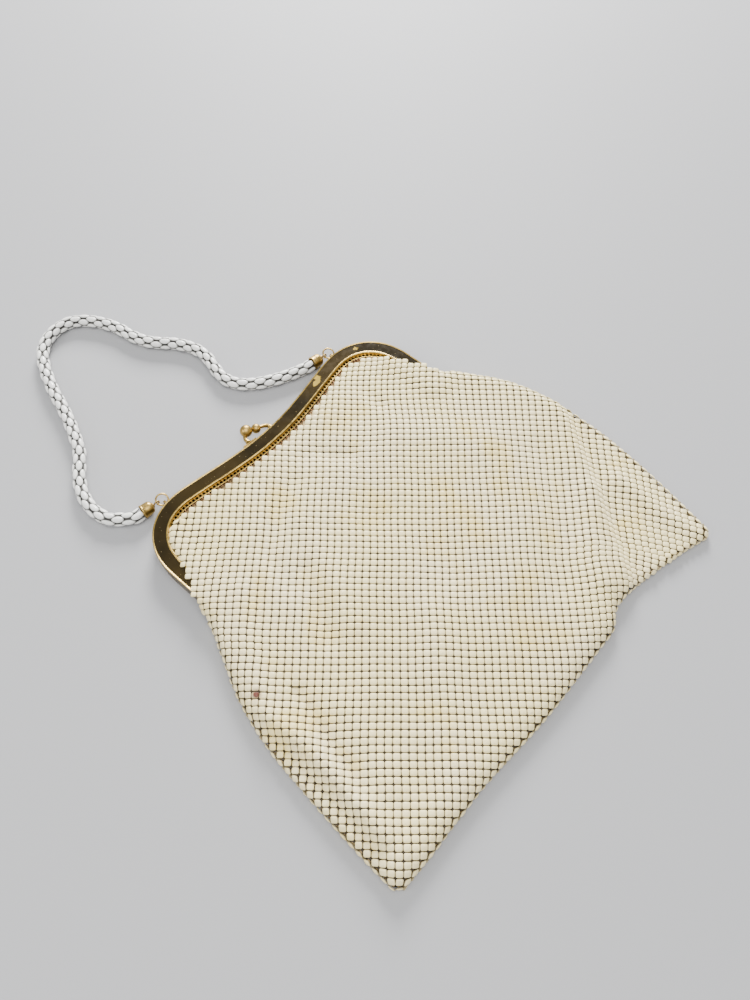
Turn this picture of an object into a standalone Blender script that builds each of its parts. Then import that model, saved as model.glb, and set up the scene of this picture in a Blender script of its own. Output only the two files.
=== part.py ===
"""Evening bag in metal mesh on a hinged kiss-lock frame, with a woven chain handle.

The bag lies on its back: +Z is the front of the bag, +Y is towards the handle. Lengths are in
millimetres in this file and become metres when an object is made. The design's own zero is the
middle of the frame, on the line through the two handle rings, at the table.
"""
import math

import bmesh
import bpy
from mathutils import Matrix, Vector

MM = 0.001
SHARP_ANGLE = math.radians(35.0)
HOME = Vector((2.82, 97.285, 0.0))  # where the design's zero lies in the part's own frame

# The frame: two channel halves, one above the other, hinged at the ends of their arms.
RIDGE = [  # middle of the band from the centre of the bag to the end of the right arm
    (0.0, -16.8), (12.0, -16.3), (26.0, -14.3), (40.0, -11.8), (52.0, -10.2), (61.0, -11.6),
    (68.0, -16.0), (72.6, -22.5), (74.6, -30.0), (74.9, -38.0), (74.8, -46.0), (74.6, -54.0),
]
STATIONS = 49
FRAME_DEPTH = 8.6
HALF_DEPTH = 4.15
BAND_OUT = 3.4
BAND_IN = 3.65
WALL = 0.7
FLANGE_DEPTH = 2.2
RIM = 0.25

# The hinges at the arm ends, one on each side, with one axis along X.
HINGE_Y = -54.0
HINGE_Z = 4.3
EAR_RADIUS = 3.0
EAR_THICK = 0.8
FRONT_EAR_X = 76.5
BACK_EAR_X = 77.7
TAB_LENGTH = 3.4
TAB_TOP_Z = 8.0
RELIEF_RADIUS = 3.4
RELIEF_THICK = 1.5
RELIEF_SHIFT = 0.2
PIN_RADIUS = 0.85
PIN_HOLE = 1.15
HEAD_RADIUS = 1.6
HEAD_THICK = 0.6
HEAD_GAP = 0.3
HEAD_EDGE = 0.25
CUT_MARGIN = 1.0

# The strips that the mesh hangs from, and the wires that hold it there.
STRIP_INSET = 4.7
STRIP_WIDTH = 1.9
STRIP_THICK = 0.5
WIRE_INSET = 6.2
WIRE_RADIUS = 0.35
HANG_Z = {"front": 7.15, "back": 1.45}

# The kiss-lock: a ball on a bent stem on each half.
STEM_RADIUS = 0.75
FRONT_BALL_RADIUS = 2.95
FRONT_BALL = (-5.9, -5.8, 6.6)
FRONT_STEM = [(-9.6, -11.2, 6.5), (-9.4, -9.2, 6.5), (-8.2, -7.3, 6.6), FRONT_BALL]
BACK_BALL_RADIUS = 2.3
BACK_BALL = (-1.0, -7.1, 4.5)
BACK_STEM = [(5.2, -11.2, 2.1), (5.0, -9.4, 2.2), (3.2, -8.1, 3.1), BACK_BALL]
SADDLE = (7.5, 0.9, 2.6)
SADDLE_GAP = 0.35

# The handle: lugs on the back half, a ring in each, an eye pin, an end cap and the chain.
LUG_X = 55.6
LUG_Y = -4.2
LUG_Z = 2.4
LUG_RADIUS = 1.75
LUG_HOLE = 0.85
LUG_THICK = 0.9
LUG_FOOT_Y = -6.5
RING_RADIUS = 2.75
RING_WIRE = 0.4
RING_TILT = math.radians(14.0)
EYE_ANGLE = math.radians(173.0)
EYE_RADIUS = 1.15
EYE_WIRE = 0.35
EYE_SHANK = 4.4
EYE_NECK = 1.45
CAP_LENGTH = 5.6
CAP_FROM_EYE = 1.9
CAP_MOUTH_Z = 3.4
CAP_SKEW = math.radians(8.0)  # the caps point a little away from the frame
CHAIN_RADIUS = 3.15
CHAIN_Z = 3.2
CHAIN_GAP = 0.4
CHAIN_STUB = 3.5
CHAIN_POINTS = 76
CHAIN_ROUTE = [  # from the right cap, out over the table and back to the left cap
    (38.0, 1.8), (32.0, 4.2), (25.5, 7.6), (19.5, 11.6), (14.6, 16.2), (11.2, 22.0),
    (10.4, 28.5), (11.9, 35.5), (13.7, 42.0), (14.0, 48.8), (12.2, 55.4), (8.6, 62.3),
    (4.0, 68.2), (0.3, 74.8), (-1.8, 82.4), (-2.9, 90.5), (-5.6, 98.8), (-9.6, 106.0),
    (-15.0, 111.6), (-21.6, 113.9), (-28.6, 113.2), (-34.6, 110.4), (-39.6, 105.4),
    (-43.6, 98.6), (-47.0, 91.0), (-50.1, 82.6), (-52.6, 74.0), (-55.8, 64.6),
    (-59.6, 55.4), (-63.4, 47.4), (-68.4, 41.0), (-73.0, 35.4), (-76.8, 28.8),
    (-79.0, 21.5), (-79.2, 14.6), (-77.6, 8.6), (-74.4, 4.6),
]

# The mesh bag: a front and a back, each a thin sheet of linked tiles.
SHEET_INSET = 7.0
FRONT_SHEET = 1.4
BACK_SHEET = 1.2
TOP_SHEET_Z = 6.0
TOP_SHEET_END_Y = -53.0
LOW_SHEET_Y = -59.2
LEFT_EDGE = [
    (-78.0, -59.2), (-86.0, -70.0), (-94.5, -88.0), (-101.5, -110.0), (-105.5, -135.0),
    (-107.5, -160.0), (-108.0, -184.5),
]
RIGHT_EDGE = [
    (80.0, -59.2), (90.0, -67.0), (98.0, -84.0), (102.0, -104.0), (101.0, -132.0),
    (97.0, -158.0), (93.0, -180.0), (91.6, -196.0),
]
BOTTOM_EDGE = [
    (-108.0, -184.5), (-85.0, -186.5), (-40.0, -188.5), (14.0, -190.0), (34.0, -187.0),
    (55.0, -188.0), (78.0, -192.5), (91.6, -196.0),
]
SHEET_CELLS = 14
SHEET_EDGE_Z = 1.6
SHEET_CROWN = 6.7


def material(name, colour, roughness, metallic):
    """A Principled material."""
    made = bpy.data.materials.new(name)
    made.use_nodes = True
    shader = made.node_tree.nodes["Principled BSDF"]
    shader.inputs["Base Color"].default_value = (*colour, 1.0)
    shader.inputs["Roughness"].default_value = roughness
    shader.inputs["Metallic"].default_value = metallic
    return made


def pivot(name, at):
    """An empty at a point of the design; the pieces that move with it are its children."""
    empty = bpy.data.objects.new(name, None)
    empty.empty_display_size = 5 * MM
    empty.location = (HOME + Vector(at)) * MM
    parts.objects.link(empty)
    return empty


def own(thing, holder, stuff, at=(0.0, 0.0, 0.0)):
    """Files a finished piece under its pivot, with its material."""
    parts.objects.link(thing)
    thing.parent = holder
    thing.location = (HOME + Vector(at)) * MM - holder.location
    thing.data.materials.append(stuff)
    return thing


def cutter(thing, holder):
    """Files a solid that only shapes another one."""
    cutters.objects.link(thing)
    thing.parent = holder
    thing.location = HOME * MM - holder.location
    thing.hide_render = True
    thing.display_type = "WIRE"
    return thing


def boolean(target, tool, operation):
    """Joins a tool to the target, or cuts it out."""
    step = target.modifiers.new(tool.name, "BOOLEAN")
    step.operation = operation
    step.object = tool


def through(points, count):
    """Points at even spacing along a smooth curve through the given points."""
    knots = [Vector(p) for p in points]
    knots = [2 * knots[0] - knots[1], *knots, 2 * knots[-1] - knots[-2]]
    fine = []
    for a, b, c, d in zip(knots, knots[1:], knots[2:], knots[3:]):
        for i in range(24):
            t = i / 24
            fine.append(
                0.5 * (2 * b + (c - a) * t + (2 * a - 5 * b + 4 * c - d) * t**2
                       + (3 * b - 3 * c + d - a) * t**3)
            )
    fine.append(knots[-2])
    run = [0.0]
    for a, b in zip(fine, fine[1:]):
        run.append(run[-1] + (b - a).length)
    picked = []
    k = 0
    for i in range(count):
        wanted = run[-1] * i / (count - 1)
        while k < len(run) - 2 and run[k + 1] < wanted:
            k += 1
        share = (wanted - run[k]) / (run[k + 1] - run[k])
        picked.append(fine[k].lerp(fine[k + 1], share))
    return picked


def inset(points, distance):
    """The line at a distance to the right of a flat line, which is the bag's side of the frame."""
    moved = []
    for i, point in enumerate(points):
        along = points[min(i + 1, len(points) - 1)] - points[max(i - 1, 0)]
        moved.append(point + Vector((along.y, -along.x)).normalized() * distance)
    return moved


def line_curve(name, points, closed=False):
    """A POLY curve through points."""
    data = bpy.data.curves.new(name, "CURVE")
    data.dimensions = "3D"
    spline = data.splines.new("POLY")
    spline.points.add(len(points) - 1)
    for knot, point in zip(spline.points, points):
        knot.co = (*(Vector(point).to_3d() * MM), 1.0)
    spline.use_cyclic_u = closed
    return bpy.data.objects.new(name, data)


def tube(name, points, radius, closed=False, resolution=2):
    """A round wire or tube along points."""
    made = line_curve(name, points, closed)
    made.data.bevel_depth = radius * MM
    made.data.bevel_resolution = resolution
    made.data.use_fill_caps = not closed
    return made


def swept(name, points, outline):
    """A closed outline, given as (outwards, up), swept along a flat line."""
    guide = line_curve(name + "_outline", outline, closed=True)
    guide.data.dimensions = "2D"
    cutters.objects.link(guide)
    guide.hide_render = True
    guide.display_type = "WIRE"
    made = line_curve(name, points)
    made.data.dimensions = "2D"
    made.data.bevel_mode = "OBJECT"
    made.data.bevel_object = guide
    made.data.use_fill_caps = True
    return made


def plate(name, outline, thickness, low):
    """A flat outline made into a plate that starts at a height."""
    made = line_curve(name, [(x, y) for x, y in outline], closed=True)
    made.data.dimensions = "2D"
    made.data.fill_mode = "BOTH"
    made.data.extrude = thickness / 2 * MM
    mesh = as_mesh(made)
    mesh.data.transform(Matrix.Translation((0, 0, (low + thickness / 2) * MM)))
    return mesh


def as_mesh(curve):
    """A curve object turned into a mesh object with its caps welded on."""
    bpy.context.scene.collection.objects.link(curve)
    bpy.context.view_layer.update()
    seen = curve.evaluated_get(bpy.context.evaluated_depsgraph_get())
    mesh = bpy.data.meshes.new_from_object(seen)
    work = bmesh.new()
    work.from_mesh(mesh)
    bmesh.ops.remove_doubles(work, verts=work.verts, dist=0.00001)
    bmesh.ops.recalc_face_normals(work, faces=work.faces)
    work.to_mesh(mesh)
    work.free()
    name = curve.name
    bpy.data.objects.remove(curve)
    mesh.shade_smooth()
    mesh.set_sharp_from_angle(angle=SHARP_ANGLE)
    return bpy.data.objects.new(name, mesh)


def solid(name, build):
    """A mesh object whose bmesh the given function fills, in millimetres."""
    work = bmesh.new()
    build(work)
    bmesh.ops.scale(work, vec=(MM, MM, MM), verts=work.verts)
    mesh = bpy.data.meshes.new(name)
    work.to_mesh(mesh)
    work.free()
    mesh.shade_smooth()
    mesh.set_sharp_from_angle(angle=SHARP_ANGLE)
    return bpy.data.objects.new(name, mesh)


def disc_x(name, centre, radius, thickness, segments=20):
    """A disc whose axis is along X."""
    turn = Matrix.Translation(centre) @ Matrix.Rotation(math.pi / 2, 4, "Y")
    return solid(name, lambda work: bmesh.ops.create_cone(
        work, cap_ends=True, segments=segments, radius1=radius, radius2=radius,
        depth=thickness, matrix=turn))


def block(name, low, high):
    """A box between two corners."""
    low, high = Vector(low), Vector(high)
    shape = Matrix.Translation((low + high) / 2) @ Matrix.Diagonal((*(high - low), 1.0))
    return solid(name, lambda work: bmesh.ops.create_cube(work, size=1.0, matrix=shape))


def ridge_line(count):
    """The middle of the frame's band, from the left arm end over the top to the right."""
    left = [(-x, y) for x, y in reversed(RIDGE[1:])]
    return [Vector((p.x, p.y)) for p in through([Vector((*q, 0.0)) for q in left + RIDGE], count)]


def band_outline(side):
    """Cross-section of one half: face with raised rims, outer wall and short inner flange."""
    top = FRAME_DEPTH / 2
    seam = top - HALF_DEPTH
    under = top - RIM - WALL
    outline = [
        (BAND_OUT, seam), (BAND_OUT, top - 0.3), (BAND_OUT - 0.3, top), (BAND_OUT - 0.7, top),
        (BAND_OUT - 0.9, top - RIM), (-BAND_IN + 0.9, top - RIM), (-BAND_IN + 0.7, top),
        (-BAND_IN + 0.3, top), (-BAND_IN, top - 0.3), (-BAND_IN, top - FLANGE_DEPTH),
        (-BAND_IN + WALL, top - FLANGE_DEPTH), (-BAND_IN + WALL, under),
        (BAND_OUT - WALL, under), (BAND_OUT - WALL, seam),
    ]
    return [(out, up * side) for out, up in outline]


def frame_half(name, side, holder, stuff):
    """One half of the frame, side 1 the front and -1 the back, with its hinge ears."""
    half = as_mesh(swept(name, ridge_line(STATIONS), band_outline(side)))
    half.data.transform(Matrix.Translation((0, 0, FRAME_DEPTH / 2 * MM)))
    own(half, holder, stuff)
    ear_x = FRONT_EAR_X if side > 0 else BACK_EAR_X
    for hand, word in ((-1, "left"), (1, "right")):
        ear = disc_x(f"{name}_{word}_ear", (hand * ear_x, HINGE_Y, HINGE_Z), EAR_RADIUS, EAR_THICK)
        boolean(half, cutter(ear, holder), "UNION")
        if side > 0:
            near, far = sorted((hand * (ear_x - EAR_THICK / 2), hand * (ear_x + EAR_THICK / 2)))
            tab = block(f"{name}_{word}_tab", (near, HINGE_Y, HINGE_Z),
                        (far, HINGE_Y + TAB_LENGTH, TAB_TOP_Z))
            boolean(half, cutter(tab, holder), "UNION")
            beside = (hand * (BACK_EAR_X + RELIEF_SHIFT), HINGE_Y, HINGE_Z)
            relief = disc_x(f"{name}_{word}_relief", beside, RELIEF_RADIUS, RELIEF_THICK, 24)
            boolean(half, cutter(relief, holder), "DIFFERENCE")
        hole = disc_x(f"{name}_{word}_hole", (hand * ear_x, HINGE_Y, HINGE_Z), PIN_HOLE,
                      EAR_THICK + CUT_MARGIN, 16)
        boolean(half, cutter(hole, holder), "DIFFERENCE")
    return half


def rivet(hand, word, holder, stuff):
    """A hinge rivet: a shank through both ears, with a head on each side."""
    inner = FRONT_EAR_X - EAR_THICK / 2 - HEAD_GAP - HEAD_THICK
    outer = BACK_EAR_X + EAR_THICK / 2 + HEAD_GAP + HEAD_THICK
    profile = [
        (0.0, outer), (HEAD_RADIUS * 0.7, outer), (HEAD_RADIUS, outer - HEAD_EDGE),
        (HEAD_RADIUS, outer - HEAD_THICK), (PIN_RADIUS, outer - HEAD_THICK),
        (PIN_RADIUS, inner + HEAD_THICK), (HEAD_RADIUS, inner + HEAD_THICK),
        (HEAD_RADIUS, inner + HEAD_EDGE), (HEAD_RADIUS * 0.7, inner), (0.0, inner),
    ]
    made = turned(f"{word}_hinge_rivet", profile, 14)
    own(made, holder, stuff, (0.0, HINGE_Y, HINGE_Z))
    made.rotation_euler = (0.0, hand * math.pi / 2, 0.0)
    return made


def turned(name, profile, steps, closed=False):
    """A turned solid about Z from a profile of (radius, height) that runs down its outer side."""
    work = bmesh.new()
    dots = [work.verts.new((radius * MM, 0.0, height * MM)) for radius, height in profile]
    for a, b in zip(dots, dots[1:]):
        work.edges.new((a, b))
    if closed:
        work.edges.new((dots[-1], dots[0]))
    mesh = bpy.data.meshes.new(name)
    work.to_mesh(mesh)
    work.free()
    made = bpy.data.objects.new(name, mesh)
    screw = made.modifiers.new("turn", "SCREW")
    screw.steps = steps
    screw.render_steps = steps
    screw.use_merge_vertices = True
    screw.merge_threshold = 0.00001
    return made


def clasp(name, stem_points, ball_radius, holder, stuff):
    """A kiss-lock ball on the end of its bent stem."""
    made = as_mesh(tube(name, through(stem_points, 9), STEM_RADIUS))
    own(made, holder, stuff)
    knob = solid(name + "_knob", lambda work: bmesh.ops.create_uvsphere(
        work, u_segments=18, v_segments=12, radius=ball_radius,
        matrix=Matrix.Translation(stem_points[-1])))
    boolean(made, cutter(knob, holder), "UNION")
    return made


def saddle(name, centre_x, centre_z, holder, stuff):
    """The small plate on the frame's outer wall that a clasp stem stands on."""
    ridge = ridge_line(161)
    reach = SADDLE[0] / 2
    start = min(ridge, key=lambda p: abs(p.x - centre_x + reach))
    end = min(ridge, key=lambda p: abs(p.x - centre_x - reach))
    along = end - start
    away = BAND_OUT + SADDLE_GAP + SADDLE[1] / 2
    at = (centre_x, (start.y + end.y) / 2 + away, centre_z)
    low = Vector(SADDLE) / -2
    made = block(name, low, -low)
    bevel = made.modifiers.new("round", "BEVEL")
    bevel.width = 0.25 * MM
    bevel.segments = 1
    own(made, holder, stuff, at)
    made.rotation_euler = (0.0, 0.0, math.atan2(along.y, along.x))
    return made


def lug(hand, word, holder, stuff):
    """An eyelet plate on the back half, with its hole along X."""
    name = f"{word}_handle_lug"
    x = hand * LUG_X
    made = block(name, (x - LUG_THICK / 2, LUG_FOOT_Y, LUG_Z - LUG_RADIUS),
                 (x + LUG_THICK / 2, LUG_Y, LUG_Z + LUG_RADIUS))
    own(made, holder, stuff)
    nose = disc_x(name + "_nose", (x, LUG_Y, LUG_Z), LUG_RADIUS, LUG_THICK)
    boolean(made, cutter(nose, holder), "UNION")
    hole = disc_x(name + "_hole", (x, LUG_Y, LUG_Z), LUG_HOLE, LUG_THICK + CUT_MARGIN, 16)
    boolean(made, cutter(hole, holder), "DIFFERENCE")
    return made


def ring_point(hand, angle):
    """A point of a handle ring's wire; the ring stands in its lug at -90 degrees."""
    tilted = Vector((0.0, math.cos(RING_TILT), math.sin(RING_TILT)))
    centre = Vector((hand * LUG_X, LUG_Y, LUG_Z)) + tilted * RING_RADIUS
    return centre + RING_RADIUS * (math.cos(angle) * Vector((1, 0, 0)) + math.sin(angle) * tilted)


def handle_end(hand, word, holder, brass):
    """A ring, an eye pin in it and the end cap on the pin; returns where the chain leaves it."""
    loop = [ring_point(hand, 2 * math.pi * i / 22) for i in range(22)]
    own(tube(f"{word}_handle_ring", loop, RING_WIRE, closed=True), holder, brass)
    eye = ring_point(hand, EYE_ANGLE)
    outwards = Vector((-math.cos(CAP_SKEW), math.sin(CAP_SKEW), 0.0))
    upright = Vector((0, 0, 1))
    turns = [math.radians(180.0 + 22.0 * i) for i in range(14)]
    bend = [eye - EYE_RADIUS * (math.cos(a) * outwards + math.sin(a) * upright) for a in turns]
    shank = [eye + outwards * reach for reach in (EYE_SHANK, EYE_NECK)]
    own(tube(f"{word}_eye_pin", shank + bend, EYE_WIRE, resolution=1), holder, brass)
    profile = [
        (0.8, CAP_LENGTH), (1.7, CAP_LENGTH), (2.6, CAP_LENGTH - 0.5), (3.1, CAP_LENGTH - 1.6),
        (3.2, 2.2), (3.3, 0.7), (3.35, 0.0), (2.7, 0.0), (2.6, 3.2), (1.8, 4.5), (0.8, 4.6),
    ]
    cap = turned(f"{word}_end_cap", profile, 20, closed=True)
    mouth = eye + outwards * (CAP_FROM_EYE + CAP_LENGTH)
    mouth.z = CAP_MOUTH_Z
    own(cap, holder, brass, mouth)
    cap.rotation_mode = "QUATERNION"
    cap.rotation_quaternion = (-outwards).to_track_quat("Z", "Y")
    return [mouth + outwards * reach for reach in (CHAIN_GAP, CHAIN_GAP + CHAIN_STUB)]


def chain(right_end, left_end, holder, stuff):
    """The woven chain as a plain tube, lying on the table."""
    middle = [(x, y, CHAIN_Z) for x, y in CHAIN_ROUTE]
    points = through([*right_end, *middle, *reversed(left_end)], CHAIN_POINTS)
    return own(tube("handle_chain", points, CHAIN_RADIUS, resolution=2), holder, stuff)


def strip(name, side, holder, stuff):
    """The flat strip along the inside of one frame half."""
    line = inset(ridge_line(STATIONS)[1:-1], STRIP_INSET)
    wide, thick = STRIP_WIDTH / 2, STRIP_THICK / 2
    outline = [(wide, -thick), (wide, thick), (-wide, thick), (-wide, -thick)]
    made = as_mesh(swept(name, line, outline))
    made.data.transform(Matrix.Translation((0, 0, HANG_Z[side] * MM)))
    return own(made, holder, stuff)


def hanging_wire(name, side, holder, stuff):
    """The wire that ties the edge of the mesh to its strip."""
    line = inset(ridge_line(STATIONS)[1:-1], WIRE_INSET)
    points = [(p.x, p.y, HANG_Z[side]) for p in line]
    return own(tube(name, points, WIRE_RADIUS, resolution=1), holder, stuff)


def inner_line():
    """The edge of the mesh along the frame, from the left arm to the right."""
    line = inset(ridge_line(41), SHEET_INSET)
    return [(p.x, p.y) for p in line if p.y > TOP_SHEET_END_Y]


def top_sheet(name, holder, stuff):
    """The mesh between the arms of the front half."""
    line = inner_line()
    ends = [(line[-1][0], TOP_SHEET_END_Y), (line[0][0], TOP_SHEET_END_Y)]
    return own(plate(name, line + ends, FRONT_SHEET, TOP_SHEET_Z), holder, stuff)


def back_sheet(name, holder, stuff):
    """The back of the bag, flat on the table from the frame to the bottom edge."""
    right = [(p.x, p.y) for p in through([Vector((*q, 0.0)) for q in RIGHT_EDGE], 14)]
    left = [(p.x, p.y) for p in through([Vector((*q, 0.0)) for q in LEFT_EDGE], 14)]
    bottom = [(p.x, p.y) for p in through([Vector((*q, 0.0)) for q in BOTTOM_EDGE], 18)]
    line = inner_line()
    arm_end_y = LOW_SHEET_Y + 1.6
    right_corner = (line[-1][0], arm_end_y)
    left_corner = (line[0][0], arm_end_y)
    outline = [*line, right_corner, *right, *bottom[-2:0:-1], *left[::-1], left_corner]
    return own(plate(name, outline, BACK_SHEET, 0.0), holder, stuff)


def front_sheet(name, holder, stuff):
    """The front of the bag below the hinges: a crowned sheet over the hollow inside."""
    count = SHEET_CELLS + 1
    left = through([Vector((*q, 0.0)) for q in LEFT_EDGE], count)
    right = through([Vector((*q, 0.0)) for q in RIGHT_EDGE], count)
    bottom = through([Vector((*q, 0.0)) for q in BOTTOM_EDGE], count)
    work = bmesh.new()
    bmesh.ops.create_grid(work, x_segments=SHEET_CELLS, y_segments=SHEET_CELLS, size=1.0)
    for dot in work.verts:
        across = (dot.co.x + 1) / 2
        down = (1 - dot.co.y) / 2
        i, j = round(across * SHEET_CELLS), round(down * SHEET_CELLS)
        straight = left[-1].lerp(right[-1], across)
        point = left[j].lerp(right[j], across) + (bottom[i] - straight) * down**2
        crown = (1 - abs(2 * across - 1) ** 4) * (1 - down**4)
        point.z = SHEET_EDGE_Z + SHEET_CROWN * crown
        dot.co = point * MM
    mesh = bpy.data.meshes.new(name)
    bmesh.ops.recalc_face_normals(work, faces=work.faces)
    if sum(face.normal.z for face in work.faces) < 0:
        bmesh.ops.reverse_faces(work, faces=work.faces)
    work.to_mesh(mesh)
    work.free()
    made = bpy.data.objects.new(name, mesh)
    thicken = made.modifiers.new("thickness", "SOLIDIFY")
    thicken.thickness = FRONT_SHEET * MM
    thicken.offset = 1.0
    return own(made, holder, stuff)


def build():
    """Makes every piece."""
    gilt = material("dark_gilt_brass", (0.16, 0.11, 0.045), 0.22, 1.0)
    brass = material("old_brass", (0.42, 0.30, 0.12), 0.35, 1.0)
    wire = material("rusty_wire", (0.25, 0.13, 0.06), 0.5, 1.0)
    white = material("white_enamel", (0.83, 0.84, 0.85), 0.3, 0.0)
    cream = material("cream_enamel", (0.80, 0.72, 0.55), 0.32, 0.0)

    body = pivot("bag", (0.0, 0.0, 0.0))
    opening = pivot("front_half_hinge", (0.0, HINGE_Y, HINGE_Z))
    swing = pivot("handle_hinge", (0.0, LUG_Y, LUG_Z))

    frame_half("back_frame", -1, body, gilt)
    frame_half("front_frame", 1, opening, gilt)
    strip("back_mesh_strip", "back", body, brass)
    strip("front_mesh_strip", "front", opening, brass)
    hanging_wire("back_hanging_wire", "back", body, wire)
    hanging_wire("front_hanging_wire", "front", opening, wire)
    clasp("back_clasp_ball", BACK_STEM, BACK_BALL_RADIUS, body, brass)
    clasp("front_clasp_ball", FRONT_STEM, FRONT_BALL_RADIUS, opening, brass)
    saddle("back_clasp_plate", BACK_STEM[0][0], 2.1, body, brass)
    saddle("front_clasp_plate", FRONT_STEM[0][0], 6.5, opening, brass)
    back_sheet("back_mesh_panel", body, cream)
    front_sheet("front_mesh_panel", body, cream)
    top_sheet("front_mesh_top", opening, cream)
    ends = []
    for hand, word in ((1, "right"), (-1, "left")):
        rivet(hand, word, body, brass)
        lug(hand, word, body, brass)
        ends.append(handle_end(hand, word, swing, brass))
    chain(ends[0], ends[1], swing, white)


for old in list(bpy.data.objects):
    bpy.data.objects.remove(old)
parts = bpy.data.collections.new("evening_bag")
cutters = bpy.data.collections.new("cutters")
bpy.context.scene.collection.children.link(parts)
bpy.context.scene.collection.children.link(cutters)
build()
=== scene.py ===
"""Looks of the evening bag: enamelled mesh tiles, the gilt frame, the clasp and the woven chain.

Lengths are in millimetres until a mesh is made. "Design" points have their zero in the middle of the
frame, on the line through the two handle rings, at the table; HOME takes them to the CAD's frame.
"""

import math

import bpy
import numpy as np
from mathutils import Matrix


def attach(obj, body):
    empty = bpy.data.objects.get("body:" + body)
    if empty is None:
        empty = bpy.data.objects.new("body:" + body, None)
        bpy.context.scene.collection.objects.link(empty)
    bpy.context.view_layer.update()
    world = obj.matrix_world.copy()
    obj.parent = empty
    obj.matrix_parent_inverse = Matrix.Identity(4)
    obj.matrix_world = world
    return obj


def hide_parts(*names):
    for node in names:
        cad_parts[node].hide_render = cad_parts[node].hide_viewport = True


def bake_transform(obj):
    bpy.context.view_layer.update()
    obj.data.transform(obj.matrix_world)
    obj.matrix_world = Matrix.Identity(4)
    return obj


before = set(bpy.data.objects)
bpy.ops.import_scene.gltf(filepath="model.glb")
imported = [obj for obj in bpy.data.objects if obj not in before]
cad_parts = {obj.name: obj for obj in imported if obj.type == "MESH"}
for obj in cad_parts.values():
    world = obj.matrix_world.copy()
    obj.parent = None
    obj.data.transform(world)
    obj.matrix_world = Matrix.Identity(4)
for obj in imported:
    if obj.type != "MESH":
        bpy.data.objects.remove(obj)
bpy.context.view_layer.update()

MM = 0.001
HOME = np.array([2.82, 97.285, 0.0])
CAMERA_AT = (-122.3, -91.9, 319.15)
CAMERA_TURN = (29.0, 0.0, -49.08)
UP = np.array([0.0, 0.0, 1.0])

# The frame's band, from the centre of the bag to the end of the right arm, and its two halves.
RIDGE = [
    (0, -16.8), (12, -16.3), (26, -14.3), (40, -11.8), (52, -10.2), (61, -11.6),
    (68, -16), (72.6, -22.5), (74.6, -30), (74.9, -38), (74.8, -46), (74.6, -54),
]
BAND_OUT = 3.4
BAND_IN = 3.65
FACE_TOP = 4.3  # the frame's faces are this far above and below the hinge line
SEAM_HALF = 0.15
HINGE_Y = -54.0
HINGE_Z = 4.3
EAR_X = {"front": 76.5, "back": 77.7}
EAR_RADIUS = 3.0
EAR_THICK = 0.8
EAR_HOLE = 1.15
HALVES = (("front", 1, "front_half"), ("back", -1, "bag"))  # its side of the hinge line, and its body
SIDE_SLOT = 2  # of a half's three materials: its face, its rims and its sides
WORN = [  # a worn patch: its centre, its direction, its half length and its half width
    ((35.6, -12.7), (0.86, 0.50), 3.6, 1.2),
    ((37.9, -10.2), (0.55, -0.83), 2.2, 1.3),
    ((63.6, -12.9), (0.8, -0.6), 1.3, 0.8),
]

# The strip inside each half and the wire along it, each this far in from the ridge line.
STRIP_IN = 4.4
BEAD_IN = 5.35
WIRE_IN = 6.2
FLANGE_IN = 7.6
STRIP_UP = 2.85  # from the hinge line's height to the strip's middle
STRIP_HALF = 0.78
STRIP_THICK = 0.22
HOLE_STEP = 1.97
HOLE_HALF = 0.56
BEAD_RADIUS = 0.27
WIRE_UP = 2.75
WIRE_RADIUS = 0.18
WIRE_TURNS = 118
FLANGE_UP = 2.1
FLANGE_THICK = 0.25

# The kiss-lock: its two stems, balls and their radii.
CLASP = {
    "front": ([(-9.6, -11.2, 6.5), (-9.4, -9.2, 6.5), (-8.2, -7.3, 6.6)], (-5.9, -5.8, 6.6), 2.95),
    "back": ([(5.2, -11.2, 2.1), (5.0, -9.4, 2.2), (3.2, -8.1, 3.1)], (-1.0, -7.1, 4.5), 2.3),
}
STEM_FOOT = 1.15
STEM_NECK = 0.7

# The handle.
LUG = (55.6, -4.2, 2.4)
RING_RADIUS = 2.75
RING_WIRE = 0.4
RING_TILT = math.radians(14.0)
EYE_ANGLE = math.radians(173.0)
EYE_RADIUS = 1.15
EYE_WIRE = 0.35
CAP_SKEW = math.radians(8.0)
CAP_LENGTH = 5.6
CAP_FROM_EYE = 1.9
CAP_MOUTH_Z = 3.4
CHAIN_Z = 3.2
CHAIN_GAP = 0.4
CHAIN_STUB = 3.5
CHAIN_RADIUS = 3.15
CHAIN_ROUTE = [
    (38, 1.8), (32, 4.2), (25.5, 7.6), (19.5, 11.6), (14.6, 16.2), (11.2, 22),
    (10.4, 28.5), (11.9, 35.5), (13.7, 42), (14, 48.8), (12.2, 55.4), (8.6, 62.3),
    (4, 68.2), (0.3, 74.8), (-1.8, 82.4), (-2.9, 90.5), (-5.6, 98.8), (-9.6, 106),
    (-15, 111.6), (-21.6, 113.9), (-28.6, 113.2), (-34.6, 110.4), (-39.6, 105.4),
    (-43.6, 98.6), (-47, 91), (-50.1, 82.6), (-52.6, 74), (-55.8, 64.6),
    (-59.6, 55.4), (-63.4, 47.4), (-68.4, 41), (-73, 35.4), (-76.8, 28.8),
    (-79, 21.5), (-79.2, 14.6), (-77.6, 8.6), (-74.4, 4.6),
]
PETAL_STEP = 4.25
PETAL_HALF = (3.0, 2.1)  # along the chain and round it

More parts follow.
